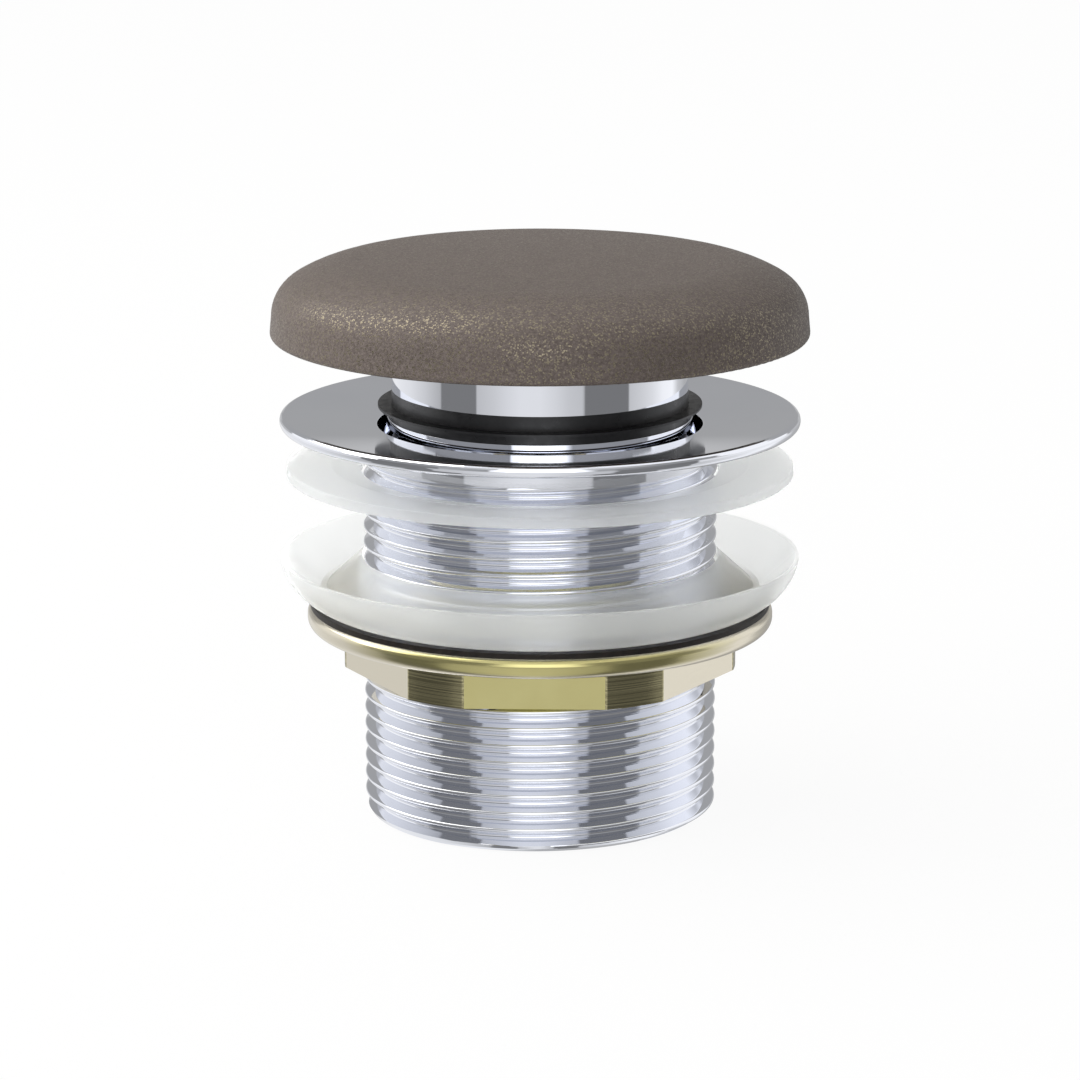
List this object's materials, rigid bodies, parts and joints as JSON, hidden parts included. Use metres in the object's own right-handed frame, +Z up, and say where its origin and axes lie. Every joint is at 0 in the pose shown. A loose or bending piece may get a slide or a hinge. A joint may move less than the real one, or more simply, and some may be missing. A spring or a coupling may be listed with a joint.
{
  "type": "bath pop-up waste",
  "caption": "Push-to-open bath waste with a raised round cap, wiping seal, thin flange, threaded tube, clamping washers and flanged backnut.",
  "frame": {"origin": "centre of the flange's seat, the flat ring under the flange that clamps on the bath", "axes": "+Z up along the drain's axis, towards the cap; -Y towards the viewer of the picture"},
  "size_m": [0.0724, 0.0724, 0.0765],
  "materials": {
    "cap_coating": "matt taupe composite with fine sparkling grain",
    "chrome": "polished",
    "brass": "turned, unplated",
    "black_rubber": "smooth moulded rubber",
    "clear_white_plastic": "translucent milky polyethylene, satin",
    "black_slip": "smooth black plastic",
    "steel": "bright stainless",
    "acetal": "natural acetal",
    "fibre": "red fibre sheet"
  },
  "bodies": {
    "waste": {"waste_body": "chrome", "cartridge_housing": "chrome", "cartridge_gland": "chrome", "guide_sleeve": "acetal", "stem_seal": "black_rubber", "seat_washer": "fibre", "lock_washer": "steel", "lock_nut": "brass", "spring": "steel"},
    "plug": {"cap": "cap_coating", "cap_insert": "brass", "cap_gasket": "black_rubber", "plug_collar": "chrome", "plug_seal": "black_rubber", "seal_retainer": "chrome", "plug_nut": "brass", "plunger": "brass", "push_cam": "acetal", "rotor": "acetal", "spring_seat": "steel"},
    "loose_washer": {"flange_washer": "clear_white_plastic"},
    "clamp_washers": {"taper_washer": "clear_white_plastic", "slip_washer": "black_slip"},
    "nut": {"backnut": "brass"}
  },
  "joints": [
    {"name": "plug_slide", "type": "slide", "parent": "waste", "child": "plug", "axis": [0, 0, 1], "range_m": [-0.008, 0], "stiffness_N_per_m": 1300, "springref_m": 0.006, "deforming": ["spring"]},
    {"name": "washer_slide", "type": "slide", "parent": "waste", "child": "loose_washer", "axis": [0, 0, 1], "range_m": [0, 0.004]},
    {"name": "nut_turn", "type": "hinge", "parent": "clamp_washers", "child": "nut", "pos_m": [0, 0, 0], "axis": [0, 0, 1], "range_deg": [-2880, 1674]},
    {"name": "clamp_slide", "type": "slide", "parent": "waste", "child": "clamp_washers", "axis": [0, 0, 1], "range_m": [-0.0186, 0.0109]}
  ],
  "couplings": [
    {"joint": "clamp_slide", "follows": "nut_turn", "m_per_rad": 0.0003675}
  ]
}
